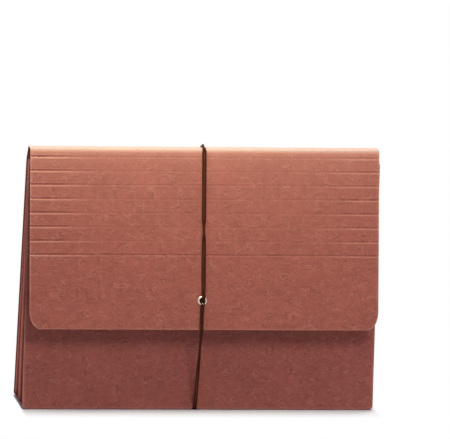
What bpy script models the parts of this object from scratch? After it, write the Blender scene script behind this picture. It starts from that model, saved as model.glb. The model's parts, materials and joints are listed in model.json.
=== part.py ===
"""Expanding file wallet of fibre board, standing closed on its flat bottom.

One folded sheet makes the back, the bottom, the front and a scored flap. Pleated paper
gussets close the sides. An elastic cord, knotted behind the flap's eyelet, is wound round it.
Metres, +Z up, the front faces -Y.
"""
from math import atan2, cos, pi, radians, sin, sqrt, tan

import bmesh
import bpy
import numpy as np
from mathutils import Matrix, Vector

# Folded sheet
WALLET_WIDTH = 0.298
BASE_DEPTH = 0.058
FRONT_HEIGHT = 0.2095
FRONT_LEAN = radians(2.9)
RIDGE_RISE = 0.011
RIDGE_DEPTH = 0.013
BOARD = 0.0007
FOLD_GAP = 0.0004
PIECE_GAP = 0.00035

# Flap, measured down from the ridge's front fold
FLAP_WIDTH = 0.296
FLAP_LENGTH = 0.1506
FLAP_CLEARANCE = 0.0006
FLAP_STAND_OFF = 0.0216
FIRST_SCORE = 0.0063
SCORE_PITCH = 0.0117
SCORE_COUNT = 8
CORNER_WIDTH = 0.0095
CORNER_HEIGHT = 0.016
CORNER_STEPS = 8

# Side gussets
PLEAT_COUNT = 4
PLEAT_FACET = 0.0111
GUSSET_PAPER = 0.0004
GUSSET_TAB = 0.0125
GUSSET_INSET = 0.0004
GUSSET_LEVELS = 7

# Cord, wound twice round the wallet and pressed into the bottom
CORD_DIAMETER = 0.0015
STRAND_GAP = 0.0005
STRANDS_X = -0.0009
CORD_CLEARANCE = 0.0004
DENT_CLEARANCE = 0.0006
DENT_HEIGHT = 0.0032
BOTTOM_DRIFT = -0.003
CORNER_REACH = 0.003
EASE_STEPS = 5
LEAD_IN = 0.008

# Eyelet, its washer and the knot behind it
EYELET_DROP = 0.1264
FLANGE_DIAMETER = 0.008
FLANGE_THICKNESS = 0.0006
BARREL_WALL = 0.00035
BARREL_LIP = 0.0003
WASHER_DIAMETER = 0.0076
WASHER_THICKNESS = 0.0005
KNOT_DIAMETER = 0.0052
KNOT_THICKNESS = 0.0034
TURNED_STEPS = 32

# Fold axes and leans of the middle section, as y and z
FRONT_FOOT = Vector((-BASE_DEPTH / 2, 0.0))
FRONT_UP = Vector((sin(FRONT_LEAN), cos(FRONT_LEAN)))
FRONT_OUT = Vector((-cos(FRONT_LEAN), sin(FRONT_LEAN)))
FRONT_FOLD = FRONT_FOOT + FRONT_UP * (FRONT_HEIGHT + RIDGE_RISE) + FRONT_OUT * FLAP_CLEARANCE
REAR_FOLD = FRONT_FOLD + Vector((RIDGE_DEPTH, 0.0))
BACK_FOOT = Vector((BASE_DEPTH / 2 - BOARD, 0.0))
BACK_LEAN = atan2(BACK_FOOT.x - REAR_FOLD.x, REAR_FOLD.y)
BACK_UP = Vector((-sin(BACK_LEAN), cos(BACK_LEAN)))
BACK_OUT = Vector((cos(BACK_LEAN), sin(BACK_LEAN)))
BACK_HEIGHT = (REAR_FOLD - BACK_FOOT).length - FOLD_GAP
FLAP_LEAN = FRONT_LEAN + atan2(FLAP_STAND_OFF - FLAP_CLEARANCE, FLAP_LENGTH)
FLAP_DOWN = Vector((-sin(FLAP_LEAN), -cos(FLAP_LEAN)))
FLAP_OUT = Vector((-cos(FLAP_LEAN), sin(FLAP_LEAN)))
LAST_SCORE = FIRST_SCORE + SCORE_PITCH * (SCORE_COUNT - 1)

# Cord places
STRAND_PITCH = CORD_DIAMETER + STRAND_GAP
CORD_LIE = CORD_CLEARANCE + CORD_DIAMETER / 2
EYELET_LIE = PIECE_GAP + FLANGE_THICKNESS + CORD_LIE
EYELET_X = STRANDS_X - STRAND_PITCH / 2
DENT_WIDTH = STRAND_PITCH + CORD_DIAMETER + 2 * DENT_CLEARANCE

# Eyelet bore and the stack of washer and lip behind the flap
BORE_RADIUS = STRAND_PITCH / 2 + CORD_DIAMETER / 2 + CORD_CLEARANCE
BARREL_RADIUS = BORE_RADIUS + BARREL_WALL
FLAP_HOLE_RADIUS = BARREL_RADIUS + PIECE_GAP
STACK = PIECE_GAP + WASHER_THICKNESS + BARREL_LIP

# The origin stands under the middle of the outer box
FRONT_REACH = (FRONT_FOLD + FLAP_DOWN * FLAP_LENGTH).x - (BOARD + CORD_CLEARANCE + CORD_DIAMETER)
BACK_REACH = BASE_DEPTH / 2 + CORD_CLEARANCE + CORD_DIAMETER
ORIGIN_SHIFT = -(FRONT_REACH + BACK_REACH) / 2


def clear_scene():
    for old in list(bpy.data.objects):
        bpy.data.objects.remove(old, do_unlink=True)


def finish(name, colour, roughness, metallic=0.0):
    """A plain Principled material."""
    material = bpy.data.materials.new(name)
    material.use_nodes = True
    shader = material.node_tree.nodes["Principled BSDF"]
    shader.inputs["Base Color"].default_value = (*colour, 1.0)
    shader.inputs["Roughness"].default_value = roughness
    shader.inputs["Metallic"].default_value = metallic
    return material


def place(name, data, material, parent, location=(0, 0, 0), tilt=0.0):
    """Link an object, turned about X by tilt, under its parent."""
    piece = bpy.data.objects.new(name, data)
    bpy.context.scene.collection.objects.link(piece)
    if material:
        data.materials.append(material)
    piece.parent = parent
    piece.location = location
    piece.rotation_euler = (tilt, 0.0, 0.0)
    return piece


def mesh_of(name, bm, smooth=False):
    """Turn a bmesh into a mesh whose faces point out."""
    bmesh.ops.recalc_face_normals(bm, faces=bm.faces)
    mesh = bpy.data.meshes.new(name)
    bm.to_mesh(mesh)
    bm.free()
    if smooth:
        mesh.shade_smooth()
        mesh.set_sharp_from_angle(angle=radians(40))
    return mesh


def sheet(name, outline, near, far, tilt=0.0):
    """Extrude an XZ outline in Y; its points on z = 0 lie on the floor once the sheet is tilted."""
    bm = bmesh.new()
    face = bm.faces.new([bm.verts.new((x, near, z)) for x, z in outline])
    grown = bmesh.ops.extrude_face_region(bm, geom=[face])["geom"]
    moved = [item for item in grown if isinstance(item, bmesh.types.BMVert)]
    bmesh.ops.translate(bm, verts=moved, vec=(0.0, far - near, 0.0))
    for vert in bm.verts:
        if vert.co.z == 0.0:
            vert.co.z = -vert.co.y * tan(tilt)
    return mesh_of(name, bm)


def turned(name, profile):
    """Spin a closed profile of radius and depth about Y."""
    bm = bmesh.new()
    ring = [bm.verts.new((radius, depth, 0.0)) for radius, depth in profile]
    edges = [bm.edges.new((ring[i - 1], ring[i])) for i in range(len(ring))]
    bmesh.ops.spin(bm, geom=ring + edges, cent=(0, 0, 0), axis=(0, 1, 0), dvec=(0, 0, 0),
                   angle=2 * pi, steps=TURNED_STEPS, use_merge=True)
    bmesh.ops.remove_doubles(bm, verts=bm.verts, dist=1e-6)
    return mesh_of(name, bm, smooth=True)


def dented_outline(height):
    """A panel standing on z = 0, with the cord's dent in its lower edge."""
    half = WALLET_WIDTH / 2
    left = BOTTOM_DRIFT - DENT_WIDTH / 2
    right = BOTTOM_DRIFT + DENT_WIDTH / 2
    return [(-half, 0.0), (left, 0.0), (left, DENT_HEIGHT), (right, DENT_HEIGHT), (right, 0.0),
            (half, 0.0), (half, height), (-half, height)]


def build_body(board, root):
    """Back, bottom and front panels; the front panel's origin is on its bottom fold."""
    back = sheet("back_panel", dented_outline(BACK_HEIGHT), 0.0, BOARD, BACK_LEAN)
    place("back_panel", back, board, root, (0.0, *BACK_FOOT), BACK_LEAN)
    front = sheet("front_panel", dented_outline(FRONT_HEIGHT), 0.0, BOARD, -FRONT_LEAN)
    place("front_panel", front, board, root, (0.0, *FRONT_FOOT), -FRONT_LEAN)

    half = WALLET_WIDTH / 2 - GUSSET_INSET
    left = BOTTOM_DRIFT - DENT_WIDTH / 2
    right = BOTTOM_DRIFT + DENT_WIDTH / 2
    crown = DENT_HEIGHT + BOARD
    channel = [(-half, 0.0), (left, 0.0), (left, DENT_HEIGHT), (right, DENT_HEIGHT), (right, 0.0),
               (half, 0.0), (half, BOARD), (right + BOARD, BOARD), (right + BOARD, crown),
               (left - BOARD, crown), (left - BOARD, BOARD), (-half, BOARD)]
    near = front_inside(crown) + PIECE_GAP
    far = back_inside(crown) - PIECE_GAP
    place("bottom_panel", sheet("bottom_panel", channel, near, far), board, root)


def front_inside(height):
    """Y of the front panel's inner face at a height."""
    return FRONT_FOOT.x + BOARD / cos(FRONT_LEAN) + height * tan(FRONT_LEAN)


def back_inside(height):
    """Y of the back panel's inner face at a height."""
    return BACK_FOOT.x - height * tan(BACK_LEAN)


def gusset_section(height):
    """Closed outline of the left gusset's pleats at one height.

    Facets of one length run from the front panel to the back panel, and the pleats grow
    deeper as the panels close in. A fold has two points outside its bend and one inside it.
    """
    thick = GUSSET_PAPER / 2
    front = front_inside(height) + PIECE_GAP + thick
    back = back_inside(height) - PIECE_GAP - thick
    facets = 2 * PLEAT_COUNT
    step = (back - front) / facets
    outer = -WALLET_WIDTH / 2 + GUSSET_INSET
    deep = sqrt(max(PLEAT_FACET ** 2 - step ** 2, GUSSET_PAPER ** 2))
    slack = deep * thick / step

    tab = outer + GUSSET_TAB
    outside = [(tab, front - thick), (outer, front - thick), (outer, front + thick)]
    inside = [(tab, front + thick), (outer + 2 * slack, front + thick)]
    for fold in range(1, facets):
        y = front + fold * step
        if fold % 2:
            outside.append((outer + deep - slack, y))
            inside += [(outer + deep, y - thick), (outer + deep, y + thick)]
        else:
            outside += [(outer, y - thick), (outer, y + thick)]
            inside.append((outer + slack, y))
    outside += [(outer, back - thick), (outer, back + thick), (tab, back + thick)]
    inside += [(outer + 2 * slack, back - thick), (tab, back - thick)]
    return outside + inside[::-1]


def gusset(name, side):
    """Loft the pleat outline from the bottom panel to the front panel's top edge.

    The facets twist a little on their way up, so both walls of one are split along the same
    diagonal: from the lower end that is nearer the inside of the wallet.
    """
    low = BOARD + PIECE_GAP
    high = FRONT_HEIGHT * cos(FRONT_LEAN)
    bm = bmesh.new()
    rings = []
    for height in np.linspace(low, high, GUSSET_LEVELS):
        section = gusset_section(float(height))
        rings.append([bm.verts.new((-side * x, y, height)) for x, y in section])
    for lower, upper in zip(rings, rings[1:]):
        for i in range(len(lower)):
            if abs(lower[i].co.x) < abs(lower[i - 1].co.x):
                bm.faces.new((lower[i - 1], lower[i], upper[i - 1]))
                bm.faces.new((lower[i], upper[i], upper[i - 1]))
            else:
                bm.faces.new((lower[i - 1], lower[i], upper[i]))
                bm.faces.new((lower[i - 1], upper[i], upper[i - 1]))
    bm.faces.new(rings[0])
    bm.faces.new(rings[-1])
    return mesh_of(name, bm)


def strip_outline(length):
    """A flap strip hanging from its fold at z = 0, with half a slit at each end."""
    half = FLAP_WIDTH / 2
    return [(-half, -length + FOLD_GAP / 2), (half, -length + FOLD_GAP / 2),
            (half, -FOLD_GAP / 2), (-half, -FOLD_GAP / 2)]


def flap_panel_outline(length):
    """The flap's last panel, with its two lower corners rounded as quarter ellipses."""
    half = FLAP_WIDTH / 2
    corner = []
    for step in range(CORNER_STEPS + 1):
        turn = pi / 2 * step / CORNER_STEPS
        corner.append((half - CORNER_WIDTH * (1 - sin(turn)), -length + CORNER_HEIGHT * (1 - cos(turn))))
    mirrored = [(-x, z) for x, z in reversed(corner)]
    return mirrored + corner + [(half, -FOLD_GAP / 2), (-half, -FOLD_GAP / 2)]


def build_flap(board, root):
    """Top strip, scored strips and last panel, each hung on the fold above it."""
    top = sheet("flap_top_strip", strip_outline(RIDGE_DEPTH), -BOARD, 0.0)
    above = place("flap_top_strip", top, board, root, (0.0, *REAR_FOLD), -pi / 2)
    length = RIDGE_DEPTH
    tilt = pi / 2 - FLAP_LEAN
    for number in range(1, SCORE_COUNT + 1):
        name = f"flap_strip_{number}"
        drop = FIRST_SCORE if number == 1 else SCORE_PITCH
        strip = sheet(name, strip_outline(drop), -BOARD, 0.0)
        above = place(name, strip, board, above, (0.0, 0.0, -length), tilt)
        length = drop
        tilt = 0.0
    last = sheet("flap_panel", flap_panel_outline(FLAP_LENGTH - LAST_SCORE), -BOARD, 0.0)
    panel = place("flap_panel", last, board, above, (0.0, 0.0, -length))
    cut_eyelet_hole(panel)
    return panel


def eyelet_place():
    """Eyelet centre on the flap panel's inner face."""
    return (EYELET_X, 0.0, LAST_SCORE - EYELET_DROP)


def cut_eyelet_hole(panel):
    depth = 4 * BOARD
    hole = turned("eyelet_hole_cutter", [(0.0, -depth), (FLAP_HOLE_RADIUS, -depth),
                                         (FLAP_HOLE_RADIUS, depth), (0.0, depth)])
    cutter = place("eyelet_hole_cutter", hole, None, panel, eyelet_place())
    cutter.hide_render = True
    cutter.display_type = 'WIRE'
    cut = panel.modifiers.new("eyelet_hole", 'BOOLEAN')
    cut.operation = 'DIFFERENCE'
    cut.object = cutter


def build_eyelet(metal, panel):
    """Flanged barrel through the flap, and the washer that its end is set over."""
    face = -BOARD - PIECE_GAP
    crown = face - FLANGE_THICKNESS
    barrel = [(BORE_RADIUS, crown), (FLANGE_DIAMETER / 2, crown), (FLANGE_DIAMETER / 2, face),
              (BARREL_RADIUS, face), (BARREL_RADIUS, STACK), (BORE_RADIUS, STACK)]
    place("eyelet", turned("eyelet", barrel), metal, panel, eyelet_place())
    inner = BARREL_RADIUS + PIECE_GAP
    ring = [(inner, PIECE_GAP), (WASHER_DIAMETER / 2, PIECE_GAP),
            (WASHER_DIAMETER / 2, PIECE_GAP + WASHER_THICKNESS), (inner, PIECE_GAP + WASHER_THICKNESS)]
    place("eyelet_washer", turned("eyelet_washer", ring), metal, panel, eyelet_place())


def build_knot(elastic, panel):
    """The cord's two ends tied behind the washer."""
    bm = bmesh.new()
    squash = Matrix.Diagonal((KNOT_DIAMETER / 2, KNOT_THICKNESS / 2, KNOT_DIAMETER / 2, 1.0))
    bmesh.ops.create_uvsphere(bm, u_segments=16, v_segments=10, radius=1.0, matrix=squash)
    x, y, z = eyelet_place()
    behind = STACK + PIECE_GAP + KNOT_THICKNESS / 2
    place("cord_knot", mesh_of("cord_knot", bm, smooth=True), elastic, panel, (x, y + behind, z))


def on_flap(x, drop, out):
    """Point at a drop below the ridge and a height over the flap's outer face."""
    return Vector((x, *(FRONT_FOLD + FLAP_DOWN * drop + FLAP_OUT * (BOARD + out))))


def ridge_front(x, out):
    """Where the lines at one height over the flap and over the ridge meet."""
    rise = (BOARD + out) * (1 - sin(FLAP_LEAN)) / cos(FLAP_LEAN)
    return on_flap(x, -rise, out)


def ridge_rear(x, out):
    """Where the lines at one height over the ridge and over the back meet."""
    rise = (BOARD + out) * (1 - sin(BACK_LEAN)) / cos(BACK_LEAN)
    return Vector((x, *(REAR_FOLD + BACK_UP * rise + BACK_OUT * (BOARD + out))))


def bottom_rear(x):
    """The turn from the back panel into its dent."""
    rise = (CORD_LIE - sin(BACK_LEAN) * (BOARD + CORD_LIE)) / cos(BACK_LEAN)
    return Vector((x, *(BACK_FOOT + BACK_UP * rise + BACK_OUT * (BOARD + CORD_LIE))))


def bottom_front(x):
    """The turn from the front panel's dent up its outer face."""
    return Vector((x, FRONT_FOOT.x - CORD_LIE, CORD_LIE))


def cord_route():
    """Corner points of two turns round the wallet, from the knot out and back to the knot.

    The first turn leaves the eyelet upwards and rides over the second one on the ridge,
    where the two strands change sides.
    """
    left = STRANDS_X - STRAND_PITCH / 2
    right = STRANDS_X + STRAND_PITCH / 2
    under_left = BOTTOM_DRIFT - STRAND_PITCH / 2
    under_right = BOTTOM_DRIFT + STRAND_PITCH / 2
    lifted = CORD_LIE + STRAND_PITCH
    upper = EYELET_DROP - STRAND_PITCH / 2
    lower = EYELET_DROP + STRAND_PITCH / 2
    rim = FLANGE_DIAMETER / 2 + CORD_DIAMETER / 2
    knot_end = -BOARD - STACK
    first = [on_flap(left, upper, knot_end), on_flap(left, upper, EYELET_LIE),
             on_flap(left, EYELET_DROP - rim, EYELET_LIE),
             ridge_front(left, lifted), ridge_rear(right, lifted),
             bottom_rear(under_right), bottom_front(under_right),
             on_flap(right, FLAP_LENGTH, CORD_LIE),
             on_flap(right, EYELET_DROP + rim, EYELET_LIE)]
    second = [on_flap(right, EYELET_DROP - rim, EYELET_LIE),
              on_flap(right, EYELET_DROP - rim - LEAD_IN, CORD_LIE),
              ridge_front(right, CORD_LIE), ridge_rear(left, CORD_LIE),
              bottom_rear(under_left), bottom_front(under_left),
              on_flap(left, FLAP_LENGTH, CORD_LIE),
              on_flap(left, EYELET_DROP + rim, EYELET_LIE),
              on_flap(left, lower, EYELET_LIE), on_flap(left, lower, knot_end)]
    return first + second


def eased(corners):
    """Round each corner with a short quadratic curve between its two runs."""
    points = [corners[0]]
    for before, corner, after in zip(corners, corners[1:], corners[2:]):
        reach_in = min(CORNER_REACH, 0.45 * (corner - before).length)
        reach_out = min(CORNER_REACH, 0.45 * (after - corner).length)
        start = corner + (before - corner).normalized() * reach_in
        end = corner + (after - corner).normalized() * reach_out
        for step in range(EASE_STEPS):
            t = step / (EASE_STEPS - 1)
            points.append(start * (1 - t) ** 2 + corner * 2 * t * (1 - t) + end * t ** 2)
    points.append(corners[-1])
    return points


def least_gap(points):
    """Least free space between stretches of the cord that lie more than six diameters apart on it."""
    spots = np.array(points)
    lengths = np.linalg.norm(np.diff(spots, axis=0), axis=1)
    along = np.concatenate([[0.0], np.cumsum(lengths)])
    fine = np.arange(0.0, along[-1], CORD_DIAMETER / 3)
    dense = np.stack([np.interp(fine, along, spots[:, axis]) for axis in range(3)], axis=1)
    squares = (dense ** 2).sum(axis=1)
    spread = np.sqrt(np.maximum(squares[:, None] + squares[None, :] - 2 * dense @ dense.T, 0.0))
    apart = np.abs(fine[:, None] - fine[None, :]) > 6 * CORD_DIAMETER
    return float(spread[apart].min()) - CORD_DIAMETER, along[-1]


def build_cord(elastic, root):
    """One tube along the whole winding."""
    points = eased(cord_route())
    curve = bpy.data.curves.new("elastic_cord", 'CURVE')
    curve.dimensions = '3D'
    curve.bevel_depth = CORD_DIAMETER / 2
    curve.bevel_resolution = 1
    curve.use_fill_caps = True
    spline = curve.splines.new('POLY')
    spline.points.add(len(points) - 1)
    for spot, point in zip(spline.points, points):
        spot.co = (*point, 1.0)
    place("elastic_cord", curve, elastic, root)
    gap, length = least_gap(points)
    print(f"elastic_cord: length {length:.4f} m, least gap to itself {gap * 1000:.2f} mm")


def main():
    clear_scene()
    board = finish("fibre_board", (0.36, 0.10, 0.064), 0.85)
    paper = finish("gusset_paper", (0.24, 0.06, 0.042), 0.8)
    metal = finish("nickelled_steel", (0.66, 0.59, 0.49), 0.25, 1.0)
    elastic = finish("elastic_braid", (0.06, 0.018, 0.007), 0.75)
    root = bpy.data.objects.new("wallet", None)
    bpy.context.scene.collection.objects.link(root)
    root.location = (0.0, ORIGIN_SHIFT, 0.0)
    build_body(board, root)
    place("left_gusset", gusset("left_gusset", -1), paper, root)
    place("right_gusset", gusset("right_gusset", 1), paper, root)
    panel = build_flap(board, root)
    build_eyelet(metal, panel)
    build_knot(elastic, panel)
    build_cord(elastic, root)


main()
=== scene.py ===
"""Looks of the expanding file wallet: folded fibre board, pleated sides, eyelet and elastic cord.

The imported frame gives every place. The board's outer face is a line in the YZ section, read by
its length, and each visible sheet is that line carried along X with its scores, dents and worn
edges. Metres, +Z up, the front faces -Y.
"""
import json
from math import atan2, cos, pi, radians, sin, tan

import bpy
import numpy as np
from bpy.props import FloatProperty, FloatVectorProperty, IntProperty, PointerProperty
from mathutils import Matrix, Vector


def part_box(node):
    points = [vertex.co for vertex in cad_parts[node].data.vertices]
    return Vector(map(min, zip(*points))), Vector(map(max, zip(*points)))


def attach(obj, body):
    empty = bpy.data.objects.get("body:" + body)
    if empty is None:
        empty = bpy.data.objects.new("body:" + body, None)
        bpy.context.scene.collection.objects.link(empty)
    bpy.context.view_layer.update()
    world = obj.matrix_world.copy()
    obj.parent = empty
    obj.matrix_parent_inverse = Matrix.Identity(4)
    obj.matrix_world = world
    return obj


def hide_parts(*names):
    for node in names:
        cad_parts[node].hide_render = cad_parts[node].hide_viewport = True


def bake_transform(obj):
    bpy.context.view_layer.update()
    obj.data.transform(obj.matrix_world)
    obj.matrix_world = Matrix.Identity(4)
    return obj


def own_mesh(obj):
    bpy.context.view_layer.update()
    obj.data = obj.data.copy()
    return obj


bl_info = {
    "name": "Expanding File Wallet",
    "version": (1, 0, 0),
    "blender": (4, 5, 0),
    "location": "View3D > Sidebar > Wallet",
    "description": "Makes the visible surfaces of an expanding file wallet round its packed frame",
    "category": "Object",
}

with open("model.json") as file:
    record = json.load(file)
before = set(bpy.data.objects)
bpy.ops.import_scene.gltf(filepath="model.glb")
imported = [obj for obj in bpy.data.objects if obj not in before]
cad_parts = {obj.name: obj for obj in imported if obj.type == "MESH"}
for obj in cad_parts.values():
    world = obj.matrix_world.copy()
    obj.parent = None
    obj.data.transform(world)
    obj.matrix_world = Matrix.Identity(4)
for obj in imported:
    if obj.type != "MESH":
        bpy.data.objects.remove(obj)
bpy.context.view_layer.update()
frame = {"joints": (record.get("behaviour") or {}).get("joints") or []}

# The photograph's frame and the camera that matches it
IMAGE_WIDTH = 450
CAMERA_TURN = radians(-9.14)
CAMERA_RISE = radians(10.96)
CAMERA_ROLL = radians(2.08)
CAMERA_DISTANCE = 8.0
CAMERA_FOCAL_PIXELS = 9505
CAMERA_TARGET = (0.02177, 0.00928, 0.15754)
SENSOR_WIDTH = 36.0

# Soft boxes: name, place, the point that each one faces, width and height, watts, colour
LIGHTS = (
    ("top_strip", (-0.045, -0.105, 0.405), (-0.03, -0.048, 0.17), (0.46, 0.07), 0.77, (1.0, 1.0, 0.73)),
    ("front_box", (0.36, -1.41, 1.24), (0.0, 0.0, 0.10), (0.6, 0.5), 11.3, (1.0, 0.98, 0.98)),
    ("side_box", (-1.1, 0.45, 0.35), (0.0, 0.0, 0.10), (0.6, 0.6), 1.0, (1.0, 0.98, 0.94)),
    ("rear_box", (0.14, 0.38, 0.72), (0.02, -0.01, 0.22), (0.8, 0.3), 6.0, (1.0, 0.95, 0.90)),
)
WHITE = (1.0, 1.0, 1.0, 1.0)
FILL_LIGHT = (0.137, 0.154, 0.275, 1.0)
FLOOR_BOUNCE = (0.68, 0.67, 0.78, 1.0)
FLOOR_REACH = 6.0
FLOOR_DROP = 0.0002

# Places in the YZ section, read from the frame
AXES = {joint["name"]: np.array(joint["pos_m"][1:]) for joint in frame["joints"]}
REAR_FOLD = AXES["flap_fold_rear"]
FRONT_FOLD = AXES["flap_fold_front"]
FRONT_FOOT = AXES["mouth_open"]
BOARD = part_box("flap_top_strip")[1].z - FRONT_FOLD[1]
HALF_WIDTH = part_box("front_panel")[1].x
HALF_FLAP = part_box("flap_panel")[1].x
RIDGE_MIDDLE = (REAR_FOLD + FRONT_FOLD) / 2 + (0.0, BOARD)

LAST_SCORE = float(np.linalg.norm(AXES["score_8"] - FRONT_FOLD))
FLAP_DOWN = (AXES["score_8"] - FRONT_FOLD) / LAST_SCORE
FLAP_OUT = np.array([FLAP_DOWN[1], -FLAP_DOWN[0]])
FLAP_LEAN = atan2(-FLAP_DOWN[0], -FLAP_DOWN[1])
SCORE_COUNT = 8
SCORE_PITCH = float(np.linalg.norm(AXES["score_8"] - AXES["score_2"])) / (SCORE_COUNT - 2)
SCORE_DROPS = LAST_SCORE - SCORE_PITCH * np.arange(SCORE_COUNT - 1, -1, -1)
FLAP_LENGTH = (FRONT_FOLD[1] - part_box("flap_panel")[0].z) / cos(FLAP_LEAN)

BACK_FOOT = np.array([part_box("back_panel")[1].y - BOARD, 0.0])
BACK_LEAN = atan2(BACK_FOOT[0] - REAR_FOLD[0], REAR_FOLD[1])
BACK_UP = np.array([-sin(BACK_LEAN), cos(BACK_LEAN)])
BACK_OUT = np.array([cos(BACK_LEAN), sin(BACK_LEAN)])
BACK_EDGE = BACK_FOOT[0] + BOARD / cos(BACK_LEAN)
BASE_MIDDLE = ((FRONT_FOOT[0] + BACK_EDGE) / 2, 0.0)
REAR_CREASE = REAR_FOLD + BACK_OUT * BOARD
FRONT_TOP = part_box("front_panel")[1].z
FRONT_LEAN = atan2(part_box("front_panel")[1].y - BOARD - FRONT_FOOT[0], FRONT_TOP)
FRONT_UP = np.array([sin(FRONT_LEAN), cos(FRONT_LEAN)])

EYELET_LOW, EYELET_HIGH = (np.array(corner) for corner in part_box("eyelet"))
EYELET_X = (EYELET_LOW[0] + EYELET_HIGH[0]) / 2
EYELET_RADIUS = (EYELET_HIGH[0] - EYELET_LOW[0]) / 2
EYELET_DROP = float((((EYELET_LOW + EYELET_HIGH) / 2)[1:] - FRONT_FOLD) @ FLAP_DOWN)
PLEAT_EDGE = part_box("left_gusset")[0].x
SIDEWAYS = np.array([1.0, 0.0, 0.0])

# Spacing along the board's line, and of the rows at its folds
LINE_STEP = 2e-5
FINE_STEP = 0.0003
# How far from the rear fold and the front's bottom fold the board bends, and how far the bend of a
# flap piece stays away from its seams
REAR_BEND = 0.005
FOOT_BEND = 0.004
SEAM_GAP = 0.001
# Strength of the worn colour at the cut edges, and how far it reaches from the cut edges and the folds;
# along the ridge the band is worn fibres with a painted highlight where light falls on the ridge's top
CUT_WEAR = 0.58
CUT_REACH = 0.0008
RIDGE_WEAR_AND_HIGHLIGHT_REACH = 0.0073
FOOT_WEAR_REACH = 0.0015
# The eyelet's opening in the flap: half of the square left out of the grid, how far the grid is
# pulled round it, and the hole's own radius
HOLE_SQUARE = 0.0024
HOLE_REACH = 0.0048
HOLE_RADIUS = 0.0026
# The eyelet's bore and barrel, its flange's rise over the flap, and its washer
EYELET_BORE = 0.00215
EYELET_BARREL = 0.0025
FLANGE_RISE = 0.00098
WASHER_GAP = 0.00035
WASHER_THICKNESS = 0.0005
# The cord's gap to what it lies on, where its strands cross on the flap, and its height in the
# dent under the bottom
CORD_GAP = 0.0001
TWIST_DROP = 0.068
DENT_LIE = 0.0011
# Yarns of one family round the elastic cord, and the length after which the braid repeats
BRAID_YARNS = 4
BRAID_PITCH = 0.0011

# The flap's pieces: name, the bodies above and below its fold, nodes
FLAP_PIECES = (
    ("ridge_sheet", "ridge", "strips_1_2", ("flap_top_strip", "flap_strip_1")),
    ("flap_sheet_1", "strips_1_2", "strips_3_4", ("flap_strip_2", "flap_strip_3")),
    ("flap_sheet_2", "strips_3_4", "strips_5_6", ("flap_strip_4", "flap_strip_5")),
    ("flap_sheet_3", "strips_5_6", "strips_7_8", ("flap_strip_6", "flap_strip_7")),
    ("flap_sheet_4", "strips_7_8", "flap", ("flap_strip_8", "flap_panel")),
)
# The cord's stretches over those pieces, in the same order
CORD_PIECES = ("cord_on_ridge", "cord_on_flap_1", "cord_on_flap_2", "cord_on_flap_3", "cord_on_flap_4")

# Materials by short name, filled by the first operator
MATERIALS = {}


def length_of(name, description, default, least):
    """A length that a user can change."""
    return FloatProperty(name=name, description=description, default=default, min=least, unit='LENGTH')


def colour_of(name, description, default):
    """A base colour that a user can change."""
    return FloatVectorProperty(name=name, description=description, default=default, subtype='COLOR')


class WalletSizes(bpy.types.PropertyGroup):
    """Sizes of what only shows, not what moves."""
    ridge_radius: length_of("Ridge Radius", "Outer radius of the two folds at the ridge", 0.0034, 0.001)
    base_radius: length_of("Base Radius", "Outer radius of the folds at the bottom", 0.0013, 0.0008)
    score_depth: length_of("Score Depth", "Depth of the scores near the flap's ends", 0.00062, 0.0)
    score_width: length_of("Score Width", "Half width of a pressed score", 0.00070, 0.0002)
    corner_width: length_of("Corner Width", "Width of the flap's rounded lower corners", 0.0095, 0.001)
    corner_height: length_of("Corner Height", "Height of the flap's rounded lower corners", 0.016, 0.001)
    pleats: IntProperty(
        name="Pleats", description="Outward folds of each side gusset between the panels",
        default=4, min=1)
    pleat_facet: length_of("Pleat Facet", "Length of one pleat facet from fold to fold", 0.0111, 0.001)
    paper: length_of("Pleat Paper", "Thickness of the pleated paper", 0.00036, 0.0001)
    cord: length_of("Cord Diameter", "Diameter of the elastic cord", 0.0015, 0.0005)
    strand_pitch: length_of("Strand Pitch", "Distance between the cord's two strands", 0.0020, 0.0005)
    bottom_drift: length_of("Bottom Drift", "X of the strands' middle under the bottom", -0.003, -0.02)
    dent_depth: length_of("Dent Depth", "How far the cord presses the bottom folds in", 0.0016, 0.0)
    dent_width: length_of("Dent Width", "Half width of the dent under the cord", 0.0024, 0.001)


class WalletColours(bpy.types.PropertyGroup):
    """Base colours of the wallet's materials."""
    board: colour_of("Fibre Board", "Red-brown of the board's face", (0.365, 0.104, 0.069))
    # Paler fibres of worn cut edges and folds; the same colour also paints the highlights on the flap's
    # top, the ridge and the scores' lower walls
    board_worn_and_highlight: colour_of("Worn Board", "Paler fibres on cut edges and worn folds", (0.60, 0.27, 0.185))
    # Palest colour: raw fibres on the most worn cut edges, and the painted highlight of the light on the
    # ridge's top
    ridge_highlight_and_raw_fibres: colour_of("Bare Fibres", "Cream of the fibres laid bare along the ridge", (0.51, 0.33, 0.262))
    # The pleat paper is darker than the board partly as its own colour and partly as painted shade deep
    # in the pleats; its worn colour along the outer folds is fold wear plus a painted highlight on the
    # tips
    paper: colour_of("Pleat Paper", "Darker red-brown of the pleats", (0.29, 0.045, 0.030))
    paper_worn_and_highlight: colour_of("Worn Pleats", "Paler fibres along the pleats' folds", (0.80, 0.31, 0.20))
    elastic: colour_of("Elastic", "Dark brown of the cord's yarn", (0.100, 0.025, 0.010))
    metal: colour_of("Eyelet Metal", "Bright nickel plate", (0.66, 0.54, 0.46))
    floor: colour_of("Floor", "Pale studio floor", (0.88, 0.88, 0.88))


def smooth(t):
    """Ease from 0 to 1 with level ends."""
    t = np.clip(t, 0.0, 1.0)
    return t * t * (3 - 2 * t)


def bell(away, reach, power=2):
    """1 at no distance, fading past the reach; a higher power has a flatter top and steeper sides."""
    return np.exp(-np.abs(away / reach) ** power)


def travelled(points):
    """Length along a line of points, from its first point."""
    steps = np.linalg.norm(np.diff(points, axis=0), axis=1)
    return np.concatenate([[0.0], np.cumsum(steps)])


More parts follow.
